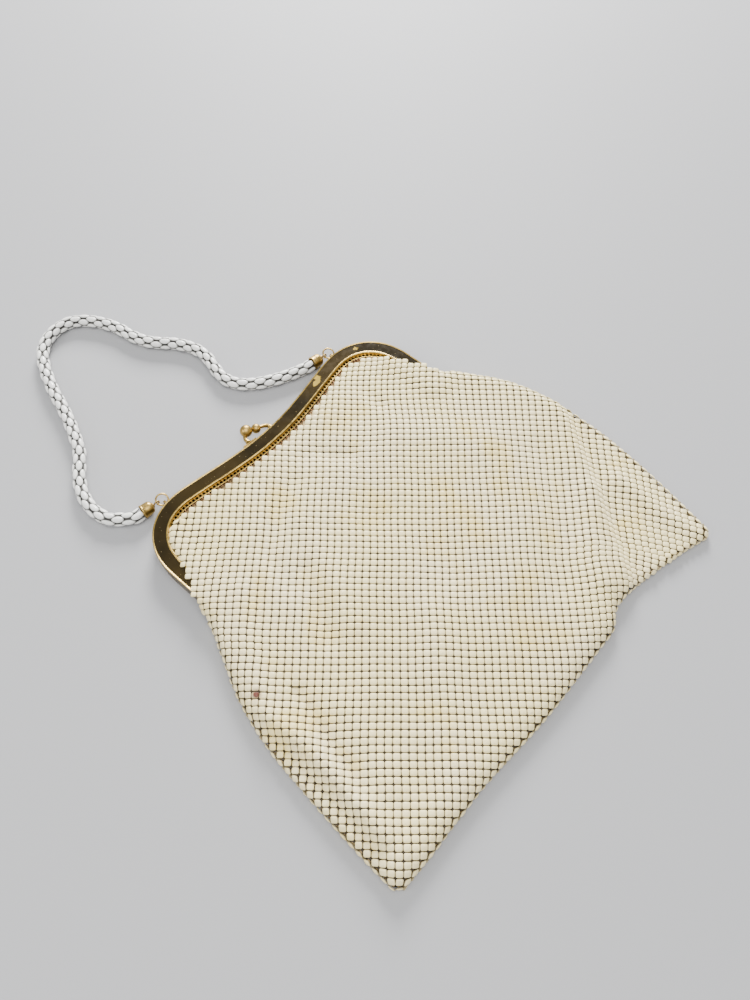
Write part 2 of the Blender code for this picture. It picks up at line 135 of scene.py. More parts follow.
# The mesh: its rows run along ROWS and its columns along COLUMNS, on the bias of the bag.
MESH_MIDDLE = np.array([-10.0, -105.0])
PITCH = 3.05
ROW_STEP = 2.86
ROWS = np.array([0.655, -0.7556])
COLUMNS = np.array([0.7556, 0.655])
TILE_HALF = 1.47
TILE_LONG = 1.32
TILE_SIDES = 12
TILE_LEAST = 0.80  # where the links are drawn together a tile is no smaller than this share
TILE_LEAN = 0.05
GROUP = 1500  # tiles to a piece, at most
NET_DROP = 0.42  # from a tile's middle to the net of links under it
LEFT_EDGE = [  # from just below the arm's end down
    (-83.5, -64), (-89, -76), (-96, -91.5), (-101.8, -112), (-104.9, -135),
    (-107, -160), (-108.3, -182.6),
]
BOTTOM_EDGE = [
    (-106.2, -185.9), (-90, -186.3), (-60, -186.4), (-20, -189.3), (14, -189.5),
    (26, -189.3), (34, -185.5), (43, -185.2), (56, -187.6), (74, -192.2), (90.6, -197.8),
]
RIGHT_EDGE = [
    (85.5, -56), (92.5, -67), (100.6, -83), (105, -104), (105.7, -126), (102.8, -150),
    (98, -174), (92.9, -195.8),
]
EDGE_Z = 2.4
BACK_Z = 0.72
TABLE_GAP = 0.05
EDGE_ROLL = 1.7  # below the free edges the mesh turns under with this radius
EDGE_TUCK = 2.8  # and goes on for this far round
LIP_ROLL = 1.1  # along the left arm's lip the mesh turns down inside the frame
LIP_START = 1.4
LIP_FROM = (-57.0, -37.0)  # the lip lies to the left of and above this point
ARM_CLEAR = -60.0  # below here nothing of the frame is in the way of the mesh's edges
ARM_INSIDE = 69.5  # the back mesh keeps nearer the middle than this, beside the arms
TOP_GAP = 7.4  # from the ridge line to the first tiles' centres
LEFT_TOP = [  # the same gap, by the distance along the frame from its middle
    (0, TOP_GAP), (52, TOP_GAP), (59, 6.2), (66, 4), (74, 3.8), (80, 4), (86, 3.8), (91, 2.1),
    (96, 0.3), (101, -1.9), (106, -4.3), (110, -6.3),
]
RIGHT_TOP = [
    (0, TOP_GAP), (36, TOP_GAP), (46, 6.5), (52, 6.5), (60, 7.2), (74, 6.9), (83, 5.3), (88, 3.3),
    (94, 0.8), (98, -1.4), (102, -3.4), (107, -5.9), (110, -7.7),
]
EASING = [  # along the frame the rows close up: a gap to its edge, and the gap that it becomes
    (-2.0, -2.0), (0.0, 0.0), (2.0, 1.1), (4.0, 3.0), (8.0, 7.3), (14.0, 13.7), (24.0, 24.0),
]
EDGE_WIDTHS = [  # how wide the front's rounded edge is, by the share of the way round it
    (0.0, 4), (0.06, 5), (0.12, 9), (0.28, 10), (0.42, 9), (0.70, 8), (0.78, 10), (0.95, 6), (1.0, 4),
]
BACK_EDGE_WIDTH = 5.0
FRONT_RISE = [  # the front's height, by the distance down from the ring line
    (15.0, 7.6), (30.0, 8.2), (60.0, 8.2), (120.0, 7.2), (175.0, 7.3), (200.0, 6.6),
]
ON_ARM_Z = 9.05  # the mesh's height where it lies over the arms
STAIN = (-91.1, -98.2)
STAIN_RADIUS = 1.6


def evenly(points, count):
    """The line through the points, cut into even steps."""
    steps = np.linalg.norm(np.diff(points, axis=0), axis=1)
    run = np.concatenate([[0.0], np.cumsum(steps)])
    at = np.linspace(0.0, run[-1], count)
    return np.stack([np.interp(at, run, column) for column in points.T], axis=1)


def through(points, count):
    """Evenly spaced points along a smooth curve through the given points."""
    knots = np.asarray(points, float)
    knots = np.vstack([2 * knots[0] - knots[1], knots, 2 * knots[-1] - knots[-2]])
    t = np.linspace(0.0, 1.0, 24, endpoint=False)[:, None]
    fine = []
    for a, b, c, d in zip(knots, knots[1:], knots[2:], knots[3:]):
        fine.append(0.5 * (2 * b + (c - a) * t + (2 * a - 5 * b + 4 * c - d) * t**2
                           + (3 * b - 3 * c + d - a) * t**3))
    return evenly(np.vstack([*fine, knots[-2]]), count)


def along(points, closed=False):
    """Unit directions along a line of points."""
    if closed:
        steps = np.roll(points, -1, axis=0) - np.roll(points, 1, axis=0)
    else:
        steps = np.gradient(points, axis=0)
    return steps / np.linalg.norm(steps, axis=1, keepdims=True)


def inset(line, distance):
    """The flat line moved to its right, which is the bag's side of the frame."""
    way = along(line)
    return line + np.stack([way[:, 1], -way[:, 0]], axis=1) * np.reshape(distance, (-1, 1))


def by_table(x, table):
    """The table's value at x, on straight lines between its (x, value) pairs."""
    return np.interp(x, *zip(*table))


def smooth_step(x):
    x = np.clip(x, 0.0, 1.0)
    return x * x * (3.0 - 2.0 * x)


def ridge_line(count):
    """The middle of the frame's band, from the left arm end over the top to the right."""
    return through([(-x, y) for x, y in RIDGE[:0:-1]] + RIDGE, count)


class Shape:
    """Points and faces gathered for one mesh, with a material number for each face."""

    def __init__(self):
        self.points = []
        self.faces = []
        self.slots = []
        self.values = []
        self.count = 0

    def add(self, points, faces, slot=0, value=0.0):
        points = np.asarray(points, float).reshape(-1, 3)
        self.points.append(points)
        self.values.append(np.broadcast_to(np.asarray(value, float), (len(points),)))
        self.faces.extend([tuple(self.count + i for i in face) for face in faces])
        self.slots.extend(slot if hasattr(slot, "__len__") else [slot] * len(faces))
        self.count += len(points)
        return self

    def make(self, name, *materials, sharp=40.0, **values):
        """The mesh object, moved from the design's zero to the CAD's frame."""
        mesh = bpy.data.meshes.new(name)
        points = (np.vstack(self.points) + HOME) * MM
        mesh.from_pydata(points, [], self.faces)
        mesh.polygons.foreach_set("material_index", self.slots)
        for made in materials:
            mesh.materials.append(made)
        for key, data in {"rim": np.concatenate(self.values), **values}.items():
            mesh.attributes.new(key, "FLOAT", "POINT").data.foreach_set(
                "value", np.asarray(data, np.float32))
        mesh.shade_smooth()
        mesh.set_sharp_from_angle(angle=math.radians(sharp))
        mesh.update()
        made = bpy.data.objects.new(name, mesh)
        bpy.context.scene.collection.objects.link(made)
        return made


def ring_faces(rings, sides, closed=False, capped=False):
    """Quads between rings of points, each ring closed on itself, with or without end faces."""
    faces = []
    for i in range(rings if closed else rings - 1):
        low, high = i * sides, (i + 1) % rings * sides
        faces.extend((low + j, low + (j + 1) % sides, high + (j + 1) % sides, high + j)
                     for j in range(sides))
    if capped:
        faces.append(tuple(range(sides))[::-1])
        faces.append(tuple(range((rings - 1) * sides, rings * sides)))
    return faces


def frames_along(points, closed=False):
    """Two directions across a line at each point, turning with it and not about it."""
    ways = along(points, closed)
    side = np.cross(ways[0], UP)
    side /= np.linalg.norm(side)
    sides = []
    for way in ways:
        side = side - way * (side @ way)
        side /= np.linalg.norm(side)
        sides.append(side)
    sides = np.array(sides)
    return sides, np.cross(sides, ways)


def tube(shape, points, radii, sides=14, closed=False, slot=0):
    """A round tube of changing radius along points, capped at its ends unless it is closed."""
    points = np.asarray(points, float)
    radii = np.broadcast_to(radii, (len(points),))
    across, over = frames_along(points, closed)
    turn = np.linspace(0.0, 2 * math.pi, sides, endpoint=False)
    rings = (points[:, None] + radii[:, None, None]
             * (np.cos(turn)[None, :, None] * across[:, None]
                + np.sin(turn)[None, :, None] * over[:, None]))
    return shape.add(rings, ring_faces(len(points), sides, closed, not closed), slot)


def lathe(shape, profile, at, way, sides=32, slot=0, closed=False):
    """A turned form: a profile of (distance along the axis, radius) about an axis."""
    way = np.asarray(way, float) / np.linalg.norm(way)
    across = np.cross(way, UP if abs(way[2]) < 0.9 else (1.0, 0.0, 0.0))
    across /= np.linalg.norm(across)
    over = np.cross(way, across)
    turn = np.linspace(0.0, 2 * math.pi, sides, endpoint=False)
    round_way = np.cos(turn)[:, None] * across + np.sin(turn)[:, None] * over
    rings = [np.asarray(at) + way * reach + round_way * radius for reach, radius in profile]
    return shape.add(np.array(rings), ring_faces(len(profile), sides, closed, not closed), slot)


def ball_profile(radius):
    """The profile of a ball for lathe(), open by a hair at its poles."""
    turns = np.linspace(0.04, math.pi - 0.04, 25)
    return [(-radius * math.cos(a), radius * math.sin(a)) for a in turns]


def swept(shape, line, outline, slots):
    """A closed outline of (outwards, height) along a flat line; slots gives each side's material."""
    way = along(line)
    out = np.stack([-way[:, 1], way[:, 0]], axis=1)
    rings = []
    for point, outwards in zip(line, out):
        rings.append([(*(point + outwards * reach), height) for reach, height in outline])
    faces = ring_faces(len(line), len(outline), capped=True)
    return shape.add(np.array(rings), faces, list(slots) * (len(line) - 1) + [0, 0])


# ---------------------------------------------------------------- materials


class Nodes:
    """A material's node tree, written one node at a time."""

    def __init__(self, name):
        self.material = bpy.data.materials.new(name)
        self.material.use_nodes = True
        self.tree = self.material.node_tree
        self.shader = self.tree.nodes["Principled BSDF"]
        self.place = self.node("ShaderNodeTexCoord").outputs["Object"]

    def node(self, kind, **settings):
        made = self.tree.nodes.new(kind)
        for key, value in settings.items():
            setattr(made, key, value)
        return made

    def feed(self, socket, value):
        """Links a socket, or sets it."""
        if isinstance(value, bpy.types.NodeSocket):
            self.tree.links.new(value, socket)
        elif hasattr(value, "__len__") and len(value) == 3 and socket.type == "RGBA":
            socket.default_value = (*value, 1.0)
        else:
            socket.default_value = value

    def noise(self, scale, detail=3.0, roughness=0.5):
        """Noise in the part's own place; scale is in cycles to the millimetre."""
        made = self.node("ShaderNodeTexNoise")
        self.feed(made.inputs["Vector"], self.place)
        self.feed(made.inputs["Scale"], scale / MM)
        self.feed(made.inputs["Detail"], detail)
        self.feed(made.inputs["Roughness"], roughness)
        return made.outputs["Fac"]

    def value(self, name):
        return self.node("ShaderNodeAttribute", attribute_name=name).outputs["Fac"]

    def math(self, operation, a, b=0.0):
        made = self.node("ShaderNodeMath", operation=operation)
        for socket, value in zip(made.inputs, (a, b)):
            self.feed(socket, value)
        return made.outputs[0]

    def ramp(self, value, low, high, to_low=0.0, to_high=1.0):
        """Maps low..high smoothly to to_low..to_high."""
        made = self.node("ShaderNodeMapRange", interpolation_type="SMOOTHSTEP")
        for name, number in (("Value", value), ("From Min", low), ("From Max", high),
                             ("To Min", to_low), ("To Max", to_high)):
            self.feed(made.inputs[name], number)
        return made.outputs["Result"]

    def mix(self, share, a, b):
        made = self.node("ShaderNodeMix", data_type="RGBA")
        self.feed(made.inputs["Factor"], share)
        self.feed(made.inputs["A"], a)
        self.feed(made.inputs["B"], b)
        return made.outputs["Result"]

    def bump(self, height, depth):
        """A bump whose height is in millimetres."""
        made = self.node("ShaderNodeBump")
        self.feed(made.inputs["Height"], height)
        self.feed(made.inputs["Distance"], depth * MM)
        self.feed(made.inputs["Strength"], 1.0)
        self.tree.links.new(made.outputs["Normal"], self.shader.inputs["Normal"])

    def set(self, **sockets):
        for key, value in sockets.items():
            self.feed(self.shader.inputs[key.replace("_", " ")], value)
        return self.material


def cream_enamel():
    """Old cream enamel on each tile, with brown grime and painted shade darkening its lower sides, and a
    few stains.
    """
    m = Nodes("cream_enamel")
    broad = m.ramp(m.noise(0.022, 2.0), 0.35, 0.65)
    colour = m.mix(broad, (0.97, 0.83, 0.41), (0.97, 0.84, 0.48))
    colour = m.mix(m.ramp(m.noise(0.05, 3.0), 0.52, 0.72), colour, (0.94, 0.76, 0.31))
    colour = m.mix(m.math("MULTIPLY", m.value("shade"), 0.22), colour, (0.80, 0.67, 0.42))
    fine = m.ramp(m.noise(1.1, 4.0, 0.6), 0.55, 0.80, 0.0, 0.35)
    colour = m.mix(fine, colour, (0.58, 0.49, 0.34))
    colour = m.mix(m.value("stain"), colour, (0.13, 0.035, 0.02))
    # grime and painted shade: each tile's lower sides darken to brown, as the gaps between the tiles do
    rim = m.ramp(m.value("rim"), 0.22, 0.88)
    colour = m.mix(m.math("MULTIPLY", rim, 0.80), colour, (0.15, 0.11, 0.06))
    m.bump(m.noise(1.6, 3.0), 0.06)
    return m.set(Base_Color=colour, Roughness=m.ramp(m.noise(0.4), 0.3, 0.7, 0.30, 0.46),
                 Specular_IOR_Level=0.38)


def white_enamel():
    """Glossy white enamel of the chain, cooler than the bag, with painted shade darkening the petals' edges
    where they dip between one another.
    """
    m = Nodes("white_enamel")
    colour = m.mix(m.ramp(m.noise(0.16, 3.0), 0.35, 0.7), (0.93, 0.92, 0.87), (0.88, 0.87, 0.82))
    colour = m.mix(m.ramp(m.noise(0.9, 4.0, 0.65), 0.60, 0.80, 0.0, 0.5), colour, (0.55, 0.55, 0.52))
    # painted shade: the petals' edges darken nearly to black where they dip into the gaps
    colour = m.mix(m.ramp(m.value("rim"), 0.70, 1.0, 0.0, 0.95), colour, (0.08, 0.08, 0.07))
    m.bump(m.noise(0.9, 3.0), 0.10)
    return m.set(Base_Color=colour, Roughness=m.ramp(m.noise(0.5), 0.3, 0.7, 0.16, 0.32))


def brass(name, light, dark, patina, roughness):
    """Aged brass: two browns of gold, a darker film in patches, and a spotty sheen."""
    m = Nodes(name)
    colour = m.mix(m.ramp(m.noise(0.12, 4.0), 0.35, 0.68), light, dark)
    colour = m.mix(m.ramp(m.noise(0.55, 4.0, 0.65), 0.52, 0.78, 0.0, 0.5), colour, patina)
    m.bump(m.noise(1.4, 4.0, 0.6), 0.05)
    return m.set(Base_Color=colour, Metallic=1.0,
                 Roughness=m.ramp(m.noise(0.35, 4.0), 0.3, 0.75, roughness - 0.07, roughness + 0.14))


def frame_face():
    """The frame's flat face: dark lacquered gilt, worn through to bright brass in a few places."""
    m = Nodes("frame_face")
    colour = m.mix(m.ramp(m.noise(0.035, 3.0), 0.35, 0.65), (0.022, 0.015, 0.004), (0.052, 0.034, 0.009))
    colour = m.mix(m.ramp(m.noise(0.6, 5.0, 0.7), 0.58, 0.74, 0.0, 0.6), colour, (0.016, 0.012, 0.007))
    specks = m.ramp(m.noise(1.2, 2.0, 0.5), 0.70, 0.76)
    colour = m.mix(specks, colour, (0.44, 0.33, 0.15))
    ragged = m.math("MULTIPLY", m.math("SUBTRACT", m.noise(0.45, 4.0, 0.65), 0.5), 1.3)
    ragged = m.math("ADD", m.value("worn"), ragged)
    colour = m.mix(m.ramp(ragged, 0.46, 0.56), colour, (0.62, 0.42, 0.07))
    m.bump(m.noise(0.8, 4.0, 0.6), 0.03)
    return m.set(Base_Color=colour, Metallic=0.6,
                 Roughness=m.ramp(m.noise(0.25, 4.0), 0.3, 0.7, 0.17, 0.24))


def chain_core():
    """The bare, dirty metal of the chain's core."""
    m = Nodes("chain_core")
    tone = m.mix(m.ramp(m.noise(0.5, 3.0), 0.35, 0.65), (0.05, 0.045, 0.04), (0.03, 0.028, 0.026))
    m.bump(m.noise(1.0, 3.0), 0.1)
    return m.set(Base_Color=tone, Metallic=0.55, Roughness=0.5)


def link_metal_and_painted_shade():
    """The links behind the tiles: a brass rosette at the back of each tile, with painted shade, a dark
    tone, between them where the gaps show.
    """
    m = Nodes("link_metal_and_painted_shade")
    waves = [m.math("COSINE", m.math("MULTIPLY", m.value(way), 2 * math.pi)) for way in ("row", "column")]
    rosette = m.math("ADD", m.math("ADD", *waves), m.math("MULTIPLY", m.noise(1.5, 3.0), 0.5))
    # painted shade: the dark tone that shows through the gaps between the tiles
    tone = m.mix(m.ramp(m.noise(0.5, 3.0), 0.35, 0.65), (0.060, 0.045, 0.028), (0.036, 0.027, 0.017))
    brassy = m.mix(m.ramp(m.noise(0.2, 3.0), 0.35, 0.65), (0.42, 0.30, 0.13), (0.27, 0.20, 0.10))
    m.bump(rosette, 0.25)
    return m.set(Base_Color=m.mix(m.ramp(rosette, 0.5, 1.3), tone, brassy), Metallic=0.7, Roughness=0.45)


CREAM = cream_enamel()
WHITE = white_enamel()
FACE = frame_face()
GILT = brass("bright_gilt", (0.62, 0.43, 0.12), (0.46, 0.31, 0.09), (0.18, 0.12, 0.05), 0.30)
BRASS = brass("old_brass", (0.50, 0.33, 0.09), (0.36, 0.24, 0.07), (0.13, 0.10, 0.045), 0.34)
SIDE = brass("frame_side", (0.15, 0.11, 0.045), (0.10, 0.07, 0.03), (0.04, 0.03, 0.015), 0.30)
RUST = brass("rusty_wire", (0.34, 0.17, 0.08), (0.22, 0.12, 0.06), (0.10, 0.05, 0.03), 0.48)
LINKS_AND_PAINTED_SHADE = link_metal_and_painted_shade()
EDGE = brass("edge_links", (0.40, 0.29, 0.15), (0.28, 0.20, 0.10), (0.14, 0.09, 0.05), 0.5)
CORE = chain_core()


# ---------------------------------------------------------------- camera, light and floor


def stage():
    """The camera at the photo's angle, a pale floor and soft studio light."""
    camera = bpy.data.objects.new("camera", bpy.data.cameras.new("camera"))
    camera.location = [c * MM for c in CAMERA_AT]
    camera.rotation_euler = [math.radians(a) for a in CAMERA_TURN]
    camera.data.sensor_fit = "VERTICAL"
    camera.data.sensor_height = 36.0
    camera.data.lens = 28.8
    camera.data.clip_start = 0.01
    bpy.context.scene.collection.objects.link(camera)
    bpy.context.scene.camera = camera

    mesh = bpy.data.meshes.new("floor")
    reach = 3.0
    mesh.from_pydata([(-reach, -reach, 0), (reach, -reach, 0), (reach, reach, 0), (-reach, reach, 0)],
                     [], [(0, 1, 2, 3)])
    floor = bpy.data.objects.new("floor", mesh)
    floor.location.z = -0.02 * MM
    bpy.context.scene.collection.objects.link(floor)
    pale = Nodes("pale_floor")
    mesh.materials.append(pale.set(Base_Color=(0.36, 0.36, 0.365), Roughness=0.7))

    world = bpy.context.scene.world or bpy.data.worlds.new("studio")
    bpy.context.scene.world = world
    world.use_nodes = True
    sky = world.node_tree.nodes["Background"]
    sky.inputs["Color"].default_value = (0.96, 0.97, 1.0, 1.0)
    sky.inputs["Strength"].default_value = 0.62
    lights = (("key", (0.95, 0.82, 0.56), 0.45, 54.0), ("top", (-0.15, -0.20, 1.0), 0.8, 12.0),
              ("left", (-0.70, 0.35, 0.50), 0.4, 3.0))
    for name, at, size, power in lights:
        data = bpy.data.lights.new(name, "AREA")
        data.size = size
        data.energy = power
        lamp = bpy.data.objects.new(name, data)
        lamp.location = at
        middle = bpy.data.objects.new(name + "_aim", None)
        middle.location = (0.0, 0.0, 0.0)
        bpy.context.scene.collection.objects.link(middle)
        aim = lamp.constraints.new("TRACK_TO")
        aim.target = middle
        bpy.context.scene.collection.objects.link(lamp)


# ---------------------------------------------------------------- the handle


def ring_point(hand, angle):
    """A point of a handle ring's wire, as in the CAD."""
    tilted = np.array([0.0, math.cos(RING_TILT), math.sin(RING_TILT)])
    centre = np.array([hand * LUG[0], LUG[1], LUG[2]]) + tilted * RING_RADIUS
    across = math.cos(angle) * np.array([1.0, 0.0, 0.0])
    return centre + RING_RADIUS * (across + math.sin(angle) * tilted)


def handle_end(hand, word):
    """Ring, eye pin and end cap; returns where the chain leaves the cap, and the pieces."""
    loop = [ring_point(hand, 2 * math.pi * i / 48) for i in range(48)]
    ring = tube(Shape(), loop, RING_WIRE, closed=True).make(f"{word}_ring", BRASS)
    eye = ring_point(hand, EYE_ANGLE)
    outwards = np.array([-math.cos(CAP_SKEW), math.sin(CAP_SKEW), 0.0])
    turns = np.radians(180.0 + np.linspace(0.0, 286.0, 24))
    bend = eye - EYE_RADIUS * (np.cos(turns)[:, None] * outwards + np.sin(turns)[:, None] * UP)
    shank = eye + outwards * np.array([[4.4], [2.8], [EYE_RADIUS + 0.3]])
    pin = tube(Shape(), np.vstack([shank, bend]), EYE_WIRE, 10).make(f"{word}_pin", BRASS)
    mouth = eye + outwards * (CAP_FROM_EYE + CAP_LENGTH)
    mouth[2] = CAP_MOUTH_Z
    profile = [
        (0.0, 2.85), (0.0, 3.25), (0.15, 3.38), (0.45, 3.40), (0.65, 3.30), (0.85, 3.22),
        (2.2, 3.18), (3.5, 3.12), (4.2, 2.98), (4.8, 2.62), (5.2, 2.10), (5.42, 1.50),
        (5.5, 1.35), (5.75, 1.30), (5.85, 1.15), (5.85, 0.78), (5.2, 0.75), (4.6, 0.75),
        (4.5, 1.7), (3.2, 2.6),
    ]
    cap = lathe(Shape(), profile, mouth, -outwards, 40, closed=True).make(f"{word}_cap", BRASS)
    for piece, node in ((ring, f"{word}_handle_ring"), (pin, f"{word}_eye_pin"), (cap, f"{word}_end_cap")):
        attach(piece, "handle")
        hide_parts(node)
    ends = [mouth + outwards * reach for reach in (CHAIN_GAP, CHAIN_GAP + CHAIN_STUB)]
    return ends, [cap, pin]


def petal():
    """One petal of the chain: (along, round, down) for each point, its faces and its rims."""
    steps = 18
    turns = np.linspace(0.0, 2 * math.pi, steps, endpoint=False)
    point = 2.0 / 1.9
    length = PETAL_HALF[0] * np.sign(np.cos(turns)) * np.abs(np.cos(turns)) ** point
    width = PETAL_HALF[1] * np.sign(np.sin(turns)) * np.abs(np.sin(turns)) ** point
    rings = [(0.0, 0.0), (0.36, 0.08), (0.64, 0.30), (0.84, 0.64), (0.97, 1.10), (0.95, 1.55)]
    points = [(0.0, 0.0, 0.0)]
    rims = [0.0]
    for share, down in rings[1:]:
        points.extend(zip(length * share, width * share, np.full(steps, down)))
        rims.extend([share if down < 1.0 else 1.0] * steps)
    faces = [(0, 1 + j, 1 + (j + 1) % steps) for j in range(steps)]
    for ring in range(len(rings) - 2):
        base = 1 + ring * steps
        faces.extend((base + j, base + steps + j, base + steps + (j + 1) % steps, base + (j + 1) % steps)
                     for j in range(steps))
    return np.array(points), faces, np.array(rims)


def chain():
    """The woven chain: a dark core and rings of four petals, each ring turned half a petal."""
    right_end, pieces = handle_end(1, "right")
    left_end, more = handle_end(-1, "left")
    middle = [(x, y, CHAIN_Z) for x, y in CHAIN_ROUTE]
    path = through([*right_end, *middle, *left_end[::-1]], 600)
    length = np.linalg.norm(np.diff(path, axis=0), axis=1).sum()
    run = np.linspace(0.0, length, len(path))
    across, over = frames_along(path)
    shape = tube(Shape(), path[::4], CHAIN_RADIUS - 0.95, 12, slot=1)

    def at(table, where):
        return np.stack([np.interp(where, run, column) for column in table.T], axis=-1)

    points, faces, rims = petal()
    count = int(length / PETAL_STEP)
    step = length / count
    for ring in range(count):
        centre = (ring + 0.5) * step
        for k in range(4):
            turn = (k + 0.5 * (ring % 2) + 0.15) * math.pi / 2
            where = np.clip(centre + points[:, 0], 0.1, length - 0.1)
            angle = turn + points[:, 1] / CHAIN_RADIUS
            radius = CHAIN_RADIUS - points[:, 2] * 0.7
            out = (np.cos(angle)[:, None] * at(across, where)
                   + np.sin(angle)[:, None] * at(over, where))
            shape.add(at(path, where) + out * radius[:, None], faces, 0, rims)
    made = shape.make("woven_chain", WHITE, CORE, sharp=60.0)
    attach(made, "handle")
    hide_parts("handle_chain")


# ---------------------------------------------------------------- the frame


def band_outline(side):
    """Cross-section of one half and each side's material: 0 the face, 1 the rims, 2 the sides."""
    top, seam, under = FACE_TOP, SEAM_HALF, FACE_TOP - 1.0
    outer, inner = BAND_OUT, -BAND_IN
    sides = [
        (outer - 0.12, seam, 2), (outer, seam + 0.12, 2), (outer, seam + 0.9, 2), (outer, top - 0.50, 1),
        (outer - 0.10, top - 0.15, 1), (outer - 0.38, top, 1), (outer - 0.64, top - 0.08, 1),
        (outer - 0.76, top - 0.22, 0), (outer - 0.95, top - 0.26, 0), (outer - 1.10, top - 0.26, 0),
        (0.0, top - 0.25, 0), (inner + 1.25, top - 0.26, 0), (inner + 1.10, top - 0.26, 0),
        (inner + 0.95, top - 0.22, 1), (inner + 0.82, top - 0.08, 1),
        (inner + 0.55, top, 1), (inner + 0.25, top - 0.05, 1), (inner + 0.06, top - 0.22, 1),
        (inner, top - 0.5, 1), (inner, top - 2.1, 1), (inner + 0.1, top - 2.2, 2),
        (inner + 0.7, top - 2.2, 2), (inner + 0.7, under, 2), (outer - 0.7, under, 2),
        (outer - 0.7, seam, 2),
    ]
    outline = [(out, HINGE_Z + up * side) for out, up, _ in sides]
    slots = [slot for _, _, slot in sides]
    if side < 0:
        outline = outline[::-1]
        slots = slots[::-1][1:] + slots[::-1][:1]
    return outline, slots


def hinge_ear(shape, centre):
    """A flat disc about the hinge line, with the rivet's hole in it."""
    edge = 0.12
    half = EAR_THICK / 2
    profile = [
        (-half, EAR_HOLE), (-half, EAR_RADIUS - edge), (-half + edge, EAR_RADIUS),
        (half - edge, EAR_RADIUS), (half, EAR_RADIUS - edge), (half, EAR_HOLE),
    ]
    lathe(shape, profile, centre, (1.0, 0.0, 0.0), 28, SIDE_SLOT, closed=True)


def frame_half(word, side, body):
    """One half of the frame with its rims, inner lip and hinge ears."""
    line = ridge_line(181)
    shape = Shape()
    outline, slots = band_outline(side)
    swept(shape, line, outline, slots)
    for hand in (-1, 1):
        hinge_ear(shape, (hand * EAR_X[word], HINGE_Y, HINGE_Z))
    points = np.vstack(shape.points)
    worn = np.zeros(len(points))
    for centre, way, long, wide in WORN:
        gap = points[:, :2] - np.array(centre)
        reach = gap @ np.array(way)
        across = gap @ np.array((-way[1], way[0]))
        worn = np.maximum(worn, np.clip(1.6 - np.hypot(reach / long, across / wide), 0.0, 1.0))
    made = shape.make(f"{word}_frame_gilt", FACE, GILT, SIDE, sharp=38.0,
                      worn=worn if side > 0 else 0.0 * worn)
    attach(made, body)
    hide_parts(f"{word}_frame")


def strip(word, side, body):
    """The strip that the mesh hangs from: a flat web with a row of holes and a bead on its edge."""
    line = ridge_line(1201)
    length = np.linalg.norm(np.diff(line, axis=0), axis=1).sum()
    count = int(length / HOLE_STEP)
    height = HINGE_Z + side * STRIP_UP
    shape = Shape()
    middle = inset(line, STRIP_IN)
    cell = evenly(middle, 2 * count + 1)
    way = along(cell)
    inward = np.stack([way[:, 1], -way[:, 0]], axis=1)
    sides = 12
    turns = np.linspace(0.0, 2 * math.pi, sides, endpoint=False) + math.radians(15.0)
    for k in range(1, 2 * count, 2):
        centre, ahead, across = cell[k], way[k], inward[k]
        half = np.linalg.norm(cell[k + 1] - cell[k - 1]) / 2
        box = np.maximum(np.abs(np.cos(turns)), np.abs(np.sin(turns)))
        outer = np.stack([np.cos(turns) / box * half, np.sin(turns) / box * STRIP_HALF], axis=1)
        inner = np.stack([np.cos(turns), np.sin(turns)], axis=1) / box[:, None] ** 0.8 * HOLE_HALF
        rings = []
        for flat, up in ((outer, -STRIP_THICK), (outer, STRIP_THICK), (inner * 1.1, STRIP_THICK),
                         (inner, STRIP_THICK * 0.5), (inner, -STRIP_THICK)):
            ring = centre + flat[:, :1] * ahead + flat[:, 1:] * across
            rings.append(np.column_stack([ring, np.full(sides, height + up * side)]))
        faces = ring_faces(5, sides, closed=True)
        if side < 0:
            faces = [face[::-1] for face in faces]
        shape.add(np.array(rings), faces)
    bead = inset(line, BEAD_IN)[::3]
    tube(shape, np.column_stack([bead, np.full(len(bead), height + 0.12 * side)]), BEAD_RADIUS, 8, slot=1)
    made = shape.make(f"{word}_strip", BRASS, GILT, sharp=50.0)
    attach(made, body)
    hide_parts(f"{word}_mesh_strip")


def hanging_wire(word, side, body):
    """The wire that winds round the strip's edge and through the first links."""
    line = inset(ridge_line(1601), WIRE_IN)[40:-40]
    run = np.linspace(0.0, 1.0, len(line))
    turns = run * 2 * math.pi * WIRE_TURNS
    way = along(line)
    inward = np.stack([way[:, 1], -way[:, 0]], axis=1)
    wobble = 0.12 * np.sin(turns * 0.37 + 1.0)
    flat = line + inward * (0.6 * np.cos(turns) + wobble)[:, None]
    height = HINGE_Z + side * (WIRE_UP + 0.45 * np.sin(turns))
    shape = tube(Shape(), np.column_stack([flat, height]), WIRE_RADIUS, 6)
    edge = inset(ridge_line(241), FLANGE_IN)[4:-4]
    low = HINGE_Z + side * FLANGE_UP
    high = low + side * FLANGE_THICK
    flange = [(1.9, low), (1.9, high), (-1.6, high), (-1.6, low)]
    swept(shape, edge, flange[::side], [1] * 4)
    made = shape.make(f"{word}_wire", RUST, EDGE)
    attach(made, body)
    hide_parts(f"{word}_hanging_wire")


def clasp(word, body):
    """A kiss-lock ball with a seam round it, on its tapered stem with a collar at the foot."""
    stem, ball, radius = CLASP[word]
    line = through([*stem, ball], 22)
    shape = tube(Shape(), line, np.linspace(STEM_FOOT, STEM_NECK, len(line)), 16)
    foot = line[1] - line[0]
    lathe(shape, [(-0.2, 1.35), (0.25, 1.35), (0.55, 1.1), (0.75, 0.8)], line[0], foot, 24)
    way = line[-1] - line[-4]
    profile = [(reach, wide * (1.012 if abs(reach) < 0.16 else 1.0))
               for reach, wide in ball_profile(radius)]
    lathe(shape, profile, ball, way, 36)
    made = shape.make(f"{word}_clasp", BRASS, sharp=50.0)
    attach(made, body)
    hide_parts(f"{word}_clasp_ball")


# ---------------------------------------------------------------- the mesh bag


